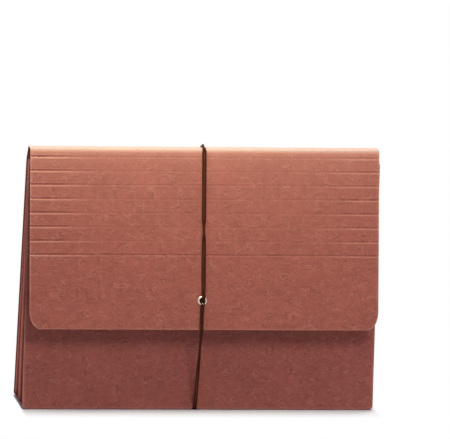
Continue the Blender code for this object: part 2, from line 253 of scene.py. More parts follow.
def arc_at(before, corner, after, radius, steps=160):
    """Arc that touches both runs at a corner: equal turns from one touching point to the other."""
    back = (before - corner) / np.linalg.norm(before - corner)
    on = (after - corner) / np.linalg.norm(after - corner)
    half = np.arccos(np.clip(back @ on, -1, 1)) / 2
    centre = corner + (back + on) / np.linalg.norm(back + on) * radius / sin(half)
    first = corner + back * radius / tan(half) - centre
    last = corner + on * radius / tan(half) - centre
    turn = pi - 2 * half
    t = np.linspace(0, 1, steps)[:, None]
    return centre + (np.sin((1 - t) * turn) * first + np.sin(t * turn) * last) / sin(turn)


def section_point(point):
    """A place in the section as a point in the middle of the wallet."""
    return (0.0, float(point[0]), float(point[1]))


class FoldLine:
    """The outer face of a folded sheet in the YZ section, read by its length.

    Straight runs are joined by arcs that touch both runs. The normal is the direction of
    travel turned a quarter turn to the given side, so that it points away from the wallet.
    """

    def __init__(self, corners, radii, side):
        corners = np.array(corners)
        runs = [corners[:1]]
        for before, corner, after, radius in zip(corners, corners[1:], corners[2:], radii):
            runs.append(arc_at(before, corner, after, radius))
        runs.append(corners[-1:])
        rough = np.concatenate(runs)
        along = travelled(rough)
        self.length = along[-1]
        self.s = np.linspace(0.0, self.length, int(self.length / LINE_STEP))
        self.points = np.stack([np.interp(self.s, along, rough[:, k]) for k in (0, 1)], axis=1)
        way = np.gradient(self.points, self.s, axis=0)
        way /= np.linalg.norm(way, axis=1, keepdims=True)
        self.normals = np.stack([side * way[:, 1], -side * way[:, 0]], axis=1)

    def at(self, s):
        """Points and normals at the given lengths."""
        points = np.stack([np.interp(s, self.s, self.points[:, k]) for k in (0, 1)], axis=-1)
        normals = np.stack([np.interp(s, self.s, self.normals[:, k]) for k in (0, 1)], axis=-1)
        return points, normals

    def place(self, s):
        """The place at one length, as a point in the middle of the wallet."""
        return section_point(self.at(s)[0])

    def length_at(self, point):
        """Length at the place on the line that is nearest to a point."""
        return float(self.s[np.argmin(np.linalg.norm(self.points - point, axis=1))])


def flap_point(drop, out=0.0):
    """Place in the section at a drop below the ridge and a height over the flap's outer face."""
    return FRONT_FOLD + FLAP_DOWN * drop + FLAP_OUT * (BOARD + out)


def main_line(sizes):
    """Outer face from the middle of the bottom up the back, over the ridge and down the flap."""
    rear_rise = BOARD * (1 - sin(BACK_LEAN)) / cos(BACK_LEAN)
    front_rise = BOARD * (1 - sin(FLAP_LEAN)) / cos(FLAP_LEAN)
    corners = [BASE_MIDDLE, (BACK_EDGE, 0.0), REAR_FOLD + BACK_UP * rear_rise + BACK_OUT * BOARD,
               flap_point(-front_rise), flap_point(FLAP_LENGTH)]
    return FoldLine(corners, [sizes.base_radius, sizes.ridge_radius, sizes.ridge_radius], 1)


def front_line(sizes):
    """Outer face from the middle of the bottom to the front panel's top edge."""
    top = FRONT_FOOT + FRONT_UP * FRONT_TOP / cos(FRONT_LEAN)
    return FoldLine([BASE_MIDDLE, (FRONT_FOOT[0], 0.0), top], [sizes.base_radius], -1)


def spaced(start, end, coarse, *fine):
    """Rows or columns from start to end: a coarse spacing, and finer ones (middle, reach, step)."""
    least = 6e-5
    marks = [np.linspace(start, end, max(2, int(round((end - start) / coarse)) + 1))]
    for middle, reach, step in fine:
        count = int(round(reach / step))
        marks.append(middle + np.linspace(-reach, reach, 2 * count + 1))
    marks = np.sort(np.concatenate(marks))
    marks = marks[(marks >= start - 1e-9) & (marks <= end + 1e-9)]
    marks = marks[np.concatenate([[True], np.diff(marks) > least])]
    marks[-1] = end
    return marks


def across(half, *fine):
    """Columns from side to side, close together at the two cut edges."""
    marks = spaced(-half, half, 0.0022, *fine)
    edge = np.array([0.00012, 0.0004, 0.0009])
    marks = np.concatenate([marks, edge - half, half - edge])
    return np.unique(np.round(marks, 6))


def grid_quads(rows, columns, wrap_rows=False, wrap_columns=False):
    """Corner numbers of a grid's quads, which may close on itself either way."""
    i, j = np.meshgrid(np.arange(rows - (not wrap_rows)), np.arange(columns - (not wrap_columns)),
                       indexing="ij")
    i2, j2 = (i + 1) % rows, (j + 1) % columns
    quads = np.stack([i * columns + j, i * columns + j2, i2 * columns + j2, i2 * columns + j], axis=-1)
    return quads.reshape(-1, 4)


def lone_edges(quads):
    """Edges that belong to one quad only, in that quad's direction."""
    edges = np.concatenate([quads[:, [k, (k + 1) % 4]] for k in range(4)])
    key = edges.min(axis=1) * (quads.max() + 1) + edges.max(axis=1)
    _, first, count = np.unique(key, return_index=True, return_counts=True)
    return edges[first[count == 1]]


def outward(points, quads):
    """Turn the quads round if the closed surface holds a negative volume."""
    a, b, c, d = (points[quads[:, k]] for k in range(4))
    volume = (a * np.cross(b, c)).sum() + (a * np.cross(c, d)).sum()
    return quads if volume > 0 else quads[:, ::-1]


def make_piece(name, points, faces, material, corner_uv=None, wear_and_light=None, sharp=40):
    """Put points and a list of faces into a mesh at the origin, with its UV map and its attribute of worn
    colour and painted light.
    """
    mesh = bpy.data.meshes.new(name)
    mesh.from_pydata(points.tolist(), [], faces)
    if corner_uv is not None:
        layer = mesh.uv_layers.new(name="face")
        layer.uv.foreach_set("vector", corner_uv.astype(np.float32).ravel())
    if wear_and_light is not None:
        # This attribute holds worn colour and painted light together
        attribute = mesh.attributes.new("wear_and_light", 'FLOAT', 'POINT')
        attribute.data.foreach_set("value", wear_and_light.astype(np.float32).ravel())
    mesh.validate()
    mesh.shade_smooth()
    mesh.set_sharp_from_angle(angle=radians(sharp))
    mesh.materials.append(material)
    piece = bpy.data.objects.new(name, mesh)
    bpy.context.scene.collection.objects.link(piece)
    return piece


def thin_sheet(name, grids, uv, wear_and_light, material, open_cells=None):
    """A closed sheet between two grids: outer face, inner face and a rim round every free edge.

    Each face has its own share of worn colour and painted light.
    """
    rows, columns = uv.shape[:2]
    quads = grid_quads(rows, columns)
    if open_cells is not None:
        quads = quads[~open_cells.ravel()]
    count = rows * columns
    edges = lone_edges(quads)
    rim = np.stack([edges[:, 1], edges[:, 0], edges[:, 0] + count, edges[:, 1] + count], axis=1)
    faces = np.concatenate([quads, quads[:, ::-1] + count, rim])
    points = np.concatenate([grid.reshape(-1, 3) for grid in grids])
    used = np.zeros(len(points), bool)
    used[faces] = True
    renumber = np.cumsum(used) - 1
    faces = outward(points, faces)
    both = np.concatenate([uv.reshape(-1, 2), uv.reshape(-1, 2) + (0.0, 1.0)])
    wear_and_light = np.concatenate([part.ravel() for part in wear_and_light])
    return make_piece(name, points[used], renumber[faces].tolist(), material, both[faces], wear_and_light[used])


def tube(path, radius, reference, sides=12, closed=False):
    """Circle carried along a path: points, faces, and UVs as turn and length along the path.

    Each ring stands across the path, and its first spoke is the reference direction with its
    part along the path taken out. Faces and UVs are lists of arrays: the quads round the path
    and, where its ends are open, the triangles of the fans that close them.
    """
    count = len(path)
    way = np.roll(path, -1, 0) - np.roll(path, 1, 0) if closed else np.gradient(path, axis=0)
    way = way / np.linalg.norm(way, axis=1, keepdims=True)
    spoke = reference - (way * reference).sum(axis=1, keepdims=True) * way
    spoke = spoke / np.linalg.norm(spoke, axis=1, keepdims=True)
    other = np.cross(way, spoke)
    angle = np.linspace(0, 2 * pi, sides, endpoint=False)[:, None]
    ring = spoke[:, None] * np.cos(angle) + other[:, None] * np.sin(angle)
    points = (path[:, None] + radius * ring).reshape(-1, 3)
    quads = grid_quads(count, sides, wrap_rows=closed, wrap_columns=True)
    along = travelled(np.concatenate([path, path[:1]]) if closed else path)
    i, j = np.divmod(np.arange(len(quads)), sides)
    turn = np.stack([j, j + 1, j + 1, j], axis=1) / sides
    uv = np.stack([turn, along[np.stack([i, i, i + 1, i + 1], axis=1)]], axis=-1)
    if closed:
        return points, [quads], [uv]
    first = np.arange(sides)
    last = first + (count - 1) * sides
    start, end = (np.full(sides, count * sides + k) for k in (0, 1))
    fans = np.concatenate([np.stack([start, np.roll(first, -1), first], axis=1),
                           np.stack([end, last, np.roll(last, -1)], axis=1)])
    fan_uv = np.zeros((2 * sides, 3, 2))
    fan_uv[sides:, :, 1] = along[-1]
    return np.concatenate([points, path[[0, -1]]]), [quads, fans], [uv, fan_uv]


def tubes_piece(name, runs, material):
    """Several tubes in one piece."""
    points, faces, uvs, start = [], [], [], 0
    for spots, shapes, corners in runs:
        points.append(spots)
        for shape, corner in zip(shapes, corners):
            faces += (shape + start).tolist()
            uvs.append(corner.reshape(-1, 2))
        start += len(spots)
    return make_piece(name, np.concatenate(points), faces, material, np.concatenate(uvs))


def turned_piece(name, profile, material, steps=64):
    """Closed profile of radius and height over the flap, turned about the eyelet's axis."""
    centre = np.array([EYELET_X, *flap_point(EYELET_DROP)])
    axis = np.array([0.0, *FLAP_OUT])
    angle = np.linspace(0, 2 * pi, steps, endpoint=False)[:, None]
    spokes = np.cos(angle) * SIDEWAYS + np.sin(angle) * np.cross(axis, SIDEWAYS)
    points = centre + profile[:, 0, None, None] * spokes + profile[:, 1, None, None] * axis
    points = points.reshape(-1, 3)
    quads = grid_quads(len(profile), steps, wrap_rows=True, wrap_columns=True)
    return make_piece(name, points, outward(points, quads).tolist(), material, sharp=50)


def rounded_profile(corners, radius, steps=6):
    """Closed profile with each corner rounded by a quadratic curve."""
    corners = np.array(corners)
    before = np.roll(corners, 1, 0) - corners
    after = np.roll(corners, -1, 0) - corners
    short = np.minimum(np.linalg.norm(before, axis=1), np.linalg.norm(after, axis=1))[:, None]
    reach = np.minimum(radius, 0.45 * short)
    start = corners + before / np.linalg.norm(before, axis=1, keepdims=True) * reach
    end = corners + after / np.linalg.norm(after, axis=1, keepdims=True) * reach
    t = np.linspace(0, 1, steps)[None, :, None]
    curve = start[:, None] * (1 - t) ** 2 + corners[:, None] * 2 * t * (1 - t) + end[:, None] * t ** 2
    return curve.reshape(-1, 2)


def sway(x, s):
    """Slow uneven swell of the board: three crossing waves of about 40 to 90 mm."""
    swell = 0.00005
    return swell * (np.sin(71 * x + 43 * s) + np.sin(-97 * x + 61 * s + 1.3) + np.sin(139 * x + 2.1))


def score_relief(sizes, s, x, score_lengths):
    """Depth of the pressed scores: bell-shaped grooves, deep near the ends and faint between.

    Each score has its own strength at both ends, and a low lip on either side of its groove.
    """
    chance = np.random.default_rng(4)
    relief = np.zeros(np.broadcast(s, x).shape)
    for number, middle in enumerate(score_lengths):
        lowest = number == SCORE_COUNT - 1
        left, right = chance.uniform(0.85, 1.1), chance.uniform(0.6, 0.85)
        near, reach = chance.uniform(0.090, 0.102), chance.uniform(0.035, 0.045)
        centre = 0.55 if lowest else chance.uniform(0.10, 0.28)
        end = np.where(x < 0, left, right)
        uneven = 1 + 0.32 * np.sin(330 * x + 2.4 * number) * np.sin(57 * x + number)
        strength = (centre + (end - centre) * smooth((np.abs(x) - near) / reach)) * uneven
        away = (s - middle) / sizes.score_width
        groove = bell(away, 1.0) - 0.22 * bell(np.abs(away) - 2.0, 0.5 ** 0.5)
        relief -= sizes.score_depth * strength * groove
    return relief


def cut_wear(away):
    """How worn a cut edge is by the distance from it: strongest there and gone a little way in."""
    return CUT_WEAR * bell(np.maximum(away, 0.0), CUT_REACH, 1.5)


def edge_wear(s, x, half):
    """How worn the side edges are, with gaps along their length."""
    gaps = 0.75 + 0.25 * np.sin(97 * s + 2 * np.sign(x)) + 0.2 * np.sin(231 * s + 1.2)
    return gaps * cut_wear(half - np.abs(x))


def lift_and_dent(sizes, x, height):
    """Rise of the bottom folds: a bell-shaped dent under the cord, and slightly rounded corners."""
    fade, corner_rise, corner_reach = 0.011, 0.0018, 0.0045
    dent = sizes.dent_depth * bell(x - sizes.bottom_drift, sizes.dent_width)
    corner = corner_rise * np.clip((np.abs(x) - HALF_WIDTH + corner_reach) / corner_reach, 0, 1) ** 2
    return smooth(1 - height / fade) * (dent + corner)


def board_sheet(name, line, rows, columns, sizes, wear_and_light, relief=None, shape=None, open_cells=None):
    """One stretch of folded board: its line carried along X, with relief along the normal.

    The inner face follows the outer one at the board's thickness. A shape moves the grid within
    the sheet. The folds' worn colour and painted light show mostly on the outer face, and the cut
    edges' worn colour on both.
    """
    # Share of the folds' worn colour and painted light that shows on the inner face
    inner_relief, inner_wear_and_light = 0.7, 0.2
    x, s = (np.array(grid) for grid in np.broadcast_arrays(columns, rows[:, None]))
    if shape is not None:
        x, s = shape(x, s)
    points, normals = line.at(s)
    height = sway(x, s) if relief is None else sway(x, s) + relief(s, x)
    outer = points + normals * height[..., None]
    inner = points + normals * (inner_relief * height - BOARD)[..., None]
    grids = [np.concatenate([x[..., None], grid], axis=-1) for grid in (outer, inner)]
    lift = lift_and_dent(sizes, x, points[..., 1])
    for grid in grids:
        grid[..., 2] += lift
    grids[0][..., 2] = np.maximum(grids[0][..., 2], 0.0)
    folds, edges = wear_and_light(s, x)
    worn = [np.clip(part, 0, 1) for part in (folds + edges, inner_wear_and_light * folds + edges)]
    uv = np.stack([x, s], axis=-1)
    return thin_sheet(name, grids, uv, worn, MATERIALS["board"], open_cells)


def make_body(sizes):
    """Back with half of the bottom, and front with the other half."""
    columns = across(HALF_WIDTH, (sizes.bottom_drift, 0.010, 0.0007))
    line = main_line(sizes)
    ridge_middle = line.length_at(RIDGE_MIDDLE)
    foot = line.length_at(BACK_FOOT)
    rear = line.length_at(REAR_CREASE)
    rows = spaced(0.0, ridge_middle, 0.006, (foot, FOOT_BEND, FINE_STEP), (rear, REAR_BEND, FINE_STEP))

    def narrowed(x, s):
        """The back is as wide as the front, and draws in to the flap's width at the ridge."""
        taper = 0.012
        share = smooth((s - rear + taper) / taper)
        return x * (1 + (HALF_FLAP / HALF_WIDTH - 1) * share), s

    def back_wear_and_light(s, x):
        """Worn fibres and a painted highlight along the ridge, and a little worn at the bottom fold and
        the sides.
        """
        # Flat-topped band along the ridge: worn fibres with a painted highlight
        folds = bell(s - ridge_middle, RIDGE_WEAR_AND_HIGHLIGHT_REACH, 4) + 0.25 * bell(s - foot, FOOT_WEAR_REACH)
        return folds, 0.2 * edge_wear(s, x, np.abs(x).max())

    back = board_sheet("back_sheet", line, rows, columns, sizes, back_wear_and_light, shape=narrowed)
    line.place(rear - REAR_BEND)
    line.place(ridge_middle)
    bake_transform(back)
    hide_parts("back_panel", "bottom_panel")

    line = front_line(sizes)
    foot = line.length_at(FRONT_FOOT)
    rows = spaced(0.0, line.length, 0.006, (foot, FOOT_BEND, FINE_STEP), (line.length, 0.0012, FINE_STEP))

    def front_wear(s, x):
        """A little worn at the bottom fold, and worn along the sides and the top edge."""
        edges = edge_wear(s, x, HALF_WIDTH) + cut_wear(line.length - s)
        return 0.3 * bell(s - foot, FOOT_WEAR_REACH), edges

    front = board_sheet("front_sheet", line, rows, columns, sizes, front_wear)
    line.place(foot - FOOT_BEND)
    line.place(foot + FOOT_BEND)
    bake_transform(front)
    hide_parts("front_panel")


def flap_seams(line):
    """Lengths at which the flap's pieces meet: ridge middle, scores 1, 3, 5 and 7, lower edge."""
    marks = [line.length_at(flap_point(drop)) for drop in SCORE_DROPS[::2]]
    return [line.length_at(RIDGE_MIDDLE), *marks, line.length]


def bend_ends(line, number, seams):
    """Where the bend of one flap piece starts and ends; the last one ends short of the eyelet."""
    low, high = seams[number], seams[number + 1]
    if number == 0:
        high -= SEAM_GAP
    elif number == len(FLAP_PIECES) - 1:
        low, high = low + SEAM_GAP, low + 2 * SCORE_PITCH
    else:
        low, high = low + SEAM_GAP, high - SEAM_GAP
    return line.place(low), line.place(high)


def make_flap(sizes):
    """Ridge and scored flap in five pieces."""
    line = main_line(sizes)
    seams = flap_seams(line)
    scores = [line.length_at(flap_point(drop)) for drop in SCORE_DROPS]
    front = line.length_at(FRONT_FOLD + (-BOARD, BOARD))
    eyelet = line.length_at(flap_point(EYELET_DROP))

    def relief(s, x):
        """Pressed scores."""
        return score_relief(sizes, s, x, scores)

    def worn(s, x):
        """Worn fibres and a painted highlight along the ridge, painted light on the flap's top that dies
        away downwards, and painted highlights on the scores' lower walls near their ends; the cut edges
        are worn.
        """
        drop = np.maximum(s - front, 0.0)
        # Painted light: the flap's top is paler where the overhead light falls on it, dying away
        # downwards
        painted_top_light = 0.18 * bell(drop, 0.050, 1) + 0.36 * bell(drop, 0.005, 1)
        # Painted highlights on the upward-facing lower wall of each score near the flap's ends, stronger
        # on the left
        painted_lip_highlights = sum(bell(s - score - 0.0010, 0.0007) for score in scores)
        painted_lip_highlights = painted_lip_highlights * np.where(x < 0, 0.38, 0.22) * smooth((np.abs(x) - 0.08) / 0.06)
        sides = edge_wear(s, x, np.abs(x).max(axis=1, keepdims=True))
        # Flat-topped band along the ridge: worn fibres with a painted highlight; the painted top light
        # and score highlights are added to it
        folds = bell(s - seams[0], RIDGE_WEAR_AND_HIGHLIGHT_REACH, 4) + painted_top_light + painted_lip_highlights
        return folds, sides + 0.4 * cut_wear(line.length - s)

    def cornered(x, s):
        """Draw the sides in along a quarter ellipse at the two lower corners."""
        low = np.clip((s - line.length + sizes.corner_height) / sizes.corner_height, 0, 1)
        half = HALF_FLAP - sizes.corner_width * (1 - np.sqrt(np.clip(1 - low ** 2, 0, 1)))
        return x * half / HALF_FLAP

    def cut_to_shape(x, s):
        """Round the corners, and pull the square opening at the eyelet out into a circle.

        Seen from the eyelet, each point moves by the ratio of its distance along the square's
        sides to its straight distance, and the pull fades outwards.
        """
        dx, ds = cornered(x, s) - EYELET_X, s - eyelet
        square = np.maximum(np.maximum(np.abs(dx), np.abs(ds)), 1e-9)
        length = np.maximum(np.hypot(dx, ds), 1e-9)
        share = smooth((HOLE_REACH - square) / (HOLE_REACH - HOLE_SQUARE))
        factor = 1 + share * (square / length * HOLE_RADIUS / HOLE_SQUARE - 1)
        return EYELET_X + dx * factor, eyelet + ds * factor

    for number, (name, above, below, nodes) in enumerate(FLAP_PIECES):
        start, end = seams[number], seams[number + 1]
        fine = [(score, 0.0028, 0.00028) for score in scores if start - 1e-4 < score < end + 1e-4]
        if number == 0:
            fine.append((front, 0.0042, FINE_STEP))
        if number < len(FLAP_PIECES) - 1:
            rows = spaced(start, end, 0.003, *fine)
            piece = board_sheet(name, line, rows, across(HALF_FLAP), sizes, worn, relief)
        else:
            hole_step = HOLE_SQUARE / 4
            bend = np.linspace(0, pi / 2, 14)
            corner_rows = line.length - sizes.corner_height * (1 - np.sin(bend))
            upper = spaced(start, line.length - sizes.corner_height, 0.004, *fine,
                           (eyelet, HOLE_REACH, hole_step))
            rows = np.unique(np.round(np.concatenate([upper, corner_rows, [line.length - 0.0004]]), 7))
            columns = across(HALF_FLAP, (EYELET_X, HOLE_REACH, hole_step))
            middle_s, middle_x = ((marks[1:] + marks[:-1]) / 2 for marks in (rows, columns))
            hole = ((np.abs(middle_s - eyelet) < HOLE_SQUARE)[:, None]
                    & (np.abs(middle_x - EYELET_X) < HOLE_SQUARE)[None, :])
            piece = board_sheet(name, line, rows, columns, sizes, worn, relief, cut_to_shape, hole)
        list(bend_ends(line, number, seams))
        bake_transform(piece)
        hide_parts(*nodes)


def pleat_section(sizes, height, t):
    """Middle line of the left pleats at one height, for t from the front tab to the back tab.

    Between t = 0 and t = 1 the line zigzags with rounded folds: the depth behind the outer fold
    is the arc cosine of a cosine, a little flattened at the tips. Some outer folds stand a
    little further in than others. Outside that range a tab runs along the panel's inner face.
    Gives X, Y and the depth behind the outer fold.
    """
    panel_gap, flatten, recess_depth, tab_run = 0.00045, 0.988, 0.0006, 0.011
    inset = sizes.paper / 2 + panel_gap
    front = FRONT_FOOT[0] + BOARD / cos(FRONT_LEAN) + height * tan(FRONT_LEAN) + inset
    back = BACK_FOOT[0] - height * tan(BACK_LEAN) - inset
    facets = 2 * sizes.pleats
    step = (back - front) / facets
    deep = np.sqrt(np.maximum(sizes.pleat_facet ** 2 - step ** 2, sizes.paper ** 2))
    inside = np.clip(t, 0, 1)
    tab = np.maximum(np.maximum(-t, t - 1), 0)
    tip = np.arccos(flatten) / pi
    zigzag = (np.arccos(flatten * np.cos(pi * facets * inside)) / pi - tip) / (1 - 2 * tip)
    folds = np.arange(sizes.pleats + 1)
    recess = np.interp(inside * sizes.pleats, folds, recess_depth * (1 + np.sin(2.4 * folds)))
    x = PLEAT_EDGE + sizes.paper / 2 + recess * (1 - zigzag) + deep * zigzag + tab * facets * tab_run
    return x, front + (back - front) * inside, deep * zigzag


def make_pleats(sizes):
    """Pleated side papers, each a sheet that zigzags from the front panel to the back panel.

    The two faces lie half of the paper's thickness to either side of the middle line, with a
    faint ripple along the folds.
    """
    low, high = (corner.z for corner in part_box("left_gusset"))
    facets = 2 * sizes.pleats
    tab = 1.05 / facets
    t = np.unique(np.round(np.concatenate([
        np.linspace(0, 1, facets * 16 + 1), np.linspace(-tab, 0, 8), np.linspace(1, 1 + tab, 8)]), 6))
    heights = np.linspace(low, high, 56)[:, None]
    x, y, depth = pleat_section(sizes, heights, t[None, :])
    z = np.broadcast_to(heights, x.shape)
    ripple = 0.00012 * np.sin(63 * z + 9 * t) * np.sin(2 * pi * facets * np.clip(t, 0, 1))
    way_x, way_y = np.gradient(x, axis=1), np.gradient(y, axis=1)
    size = np.hypot(way_x, way_y)
    normal_x, normal_y = -way_y / size, way_x / size
    steps = np.hypot(np.diff(x, axis=1, prepend=x[:, :1]), np.diff(y, axis=1, prepend=y[:, :1]))
    uv = np.stack([np.cumsum(steps, axis=1), z], axis=-1)
    # Pale at the outer folds and less so with depth behind them: fold wear plus a painted highlight on
    # the tips, with the dark paper as painted shade in the valleys; the top edge is worn
    wear_and_light = np.where((t < 0) | (t > 1), 0.0, bell(depth, 0.0011)) + bell(high - z, 0.0008)
    wear_and_light = np.clip(CUT_WEAR * wear_and_light, 0, 1)
    for name, side, node in (("left_pleats", 1, "left_gusset"), ("right_pleats", -1, "right_gusset")):
        grids = []
        for out in (sizes.paper / 2, -sizes.paper / 2):
            px = np.clip(x + normal_x * (out + ripple), PLEAT_EDGE, None)
            grids.append(np.stack([side * px, y + normal_y * (out + ripple), z], axis=-1))
        piece = thin_sheet(name, grids, uv, (wear_and_light, wear_and_light), MATERIALS["paper"])
        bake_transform(piece)
        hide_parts(node)


def make_eyelet():
    """Rolled flange with its barrel through the flap, and the washer that its end is set over.

    Both are closed profiles of radius and height over the flap's outer face, turned about the
    eyelet's axis.
    """
    bore, barrel, rim = EYELET_BORE, EYELET_BARREL, EYELET_RADIUS
    roll = barrel + 0.0007
    end = -BOARD - WASHER_GAP - WASHER_THICKNESS
    flange = rounded_profile([
        (bore, 0.00055), (bore + 0.0005, FLANGE_RISE), (rim - 0.0008, FLANGE_RISE), (rim, 0.0004),
        (rim - 0.0001, 0.00004), (barrel + 0.0002, 0.00004), (barrel, -0.0002), (barrel, end),
        (roll, end - 0.00012), (roll, end - 0.0003), (bore, end - 0.0003)], 0.0005)
    low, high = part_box("eyelet_washer")
    rim = (high.x - low.x) / 2
    hole = barrel + 0.0001
    face = -BOARD - 0.00006
    washer = rounded_profile([
        (hole, face), (rim, face), (rim, face - 0.0003), (rim - 0.0007, face - WASHER_THICKNESS),
        (hole, face - WASHER_THICKNESS)], 0.0003)
    rings = (("eyelet_ring", flange, "eyelet"), ("washer_ring", washer, "eyelet_washer"))
    for name, profile, node in rings:
        piece = turned_piece(name, profile, MATERIALS["metal"])
        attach(piece, "flap")
        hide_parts(node)


def make_knot(sizes):
    """The cord's ends tied behind the washer: a trefoil of cord with two short tails.

    The trefoil winds twice round a ring while it turns three times about the ring's line.
    """
    low, high = (np.array(corner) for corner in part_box("cord_knot"))
    centre = (low + high) / 2
    out, down = (np.array([0.0, *way]) for way in (FLAP_OUT, FLAP_DOWN))
    radius = sizes.cord * 0.46
    ring = (high[0] - low[0]) / 2 - radius - 0.00045
    turn = 0.00055
    t = np.linspace(0, 2 * pi, 120, endpoint=False)[:, None]
    spoke = np.cos(2 * t) * SIDEWAYS + np.sin(2 * t) * down
    path = centre + (ring + turn * np.cos(3 * t)) * spoke + 1.5 * turn * np.sin(3 * t) * out
    runs = [tube(path, radius, np.cos(3 * t) * spoke + np.sin(3 * t) * out, closed=True)]
    u = np.linspace(0, 1, 14)[:, None]
    for way in (-1, 1):
        start = centre + 0.0012 * way * SIDEWAYS
        tail = start + 0.0032 * way * u * SIDEWAYS + 0.0036 * u ** 1.4 * down - 0.0008 * u * out
        runs.append(tube(tail, radius, out))
    piece = tubes_piece("tied_knot", runs, MATERIALS["elastic"])
    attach(piece, "flap")
    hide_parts("cord_knot")


def strand(line, marks, start, end, step=0.0011):
    """Points of one strand between two lengths of the board's line.

    Marks give its X and its height over the board at chosen lengths; between them both ease
    from one mark to the next.
    """
    lengths, places, heights = np.array(sorted(marks)).T
    s = np.linspace(start, end, max(4, int(abs(end - start) / step)))
    index = np.clip(np.searchsorted(lengths, s) - 1, 0, len(lengths) - 2)
    share = smooth((s - lengths[index]) / (lengths[index + 1] - lengths[index]))
    x = places[index] + (places[index + 1] - places[index]) * share
    out = heights[index] + (heights[index + 1] - heights[index]) * share
    points, normals = line.at(s)
    return np.concatenate([x[:, None], points + normals * out[:, None]], axis=1)


def eased_route(points, step=0.0011):
    """Smooth line through given points: each stretch is a cubic with shared slopes."""
    points = np.array(points)
    along = travelled(points)
    slopes = np.gradient(points, along, axis=0)
    s = np.linspace(0, along[-1], int(along[-1] / step))
    i = np.clip(np.searchsorted(along, s) - 1, 0, len(along) - 2)
    span = (along[i + 1] - along[i])[:, None]
    t = (s - along[i])[:, None] / span
    return (points[i] * (2 * t ** 3 - 3 * t ** 2 + 1) + slopes[i] * span * (t ** 3 - 2 * t ** 2 + t)
            + points[i + 1] * (3 * t ** 2 - 2 * t ** 3) + slopes[i + 1] * span * (t ** 3 - t ** 2))


def on_flap(x, drop, out):
    """Point over the flap's outer face."""
    return (x, *flap_point(drop, out))


